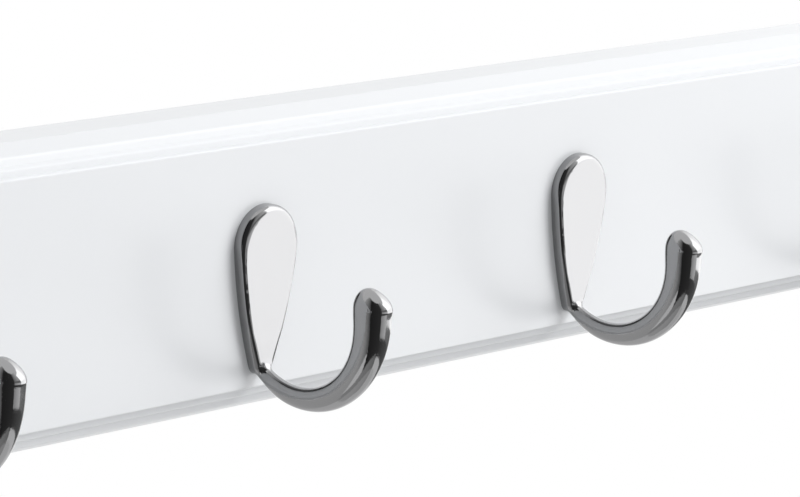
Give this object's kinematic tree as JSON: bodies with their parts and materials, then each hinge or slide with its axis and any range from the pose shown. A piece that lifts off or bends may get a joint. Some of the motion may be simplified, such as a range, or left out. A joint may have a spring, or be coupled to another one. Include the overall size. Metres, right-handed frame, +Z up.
{
  "type": "wall coat rack",
  "caption": "White moulded wall board with a row of single chrome coat hooks, hung from the back on hidden keyhole plates.",
  "frame": {"origin": "centre of the board's back face, in the plane of the wall", "axes": "+X along the rail to the right as seen from the room, +Y into the wall, +Z up"},
  "size_m": [0.56, 0.0579, 0.07],
  "materials": {
    "lacquered_board": "white gloss lacquer on fibreboard",
    "chrome": "bright chrome plate on a zinc casting",
    "zinc_steel": "bright zinc-plated steel"
  },
  "bodies": {
    "root": {"rail_board": "lacquered_board", "hook_1": "chrome", "hook_2": "chrome", "hook_3": "chrome", "hook_4": "chrome", "hook_5": "chrome", "hook_screws": "zinc_steel", "keyhole_plate_left": "zinc_steel", "keyhole_plate_right": "zinc_steel", "keyhole_plate_screws": "zinc_steel"}
  },
  "joints": []
}
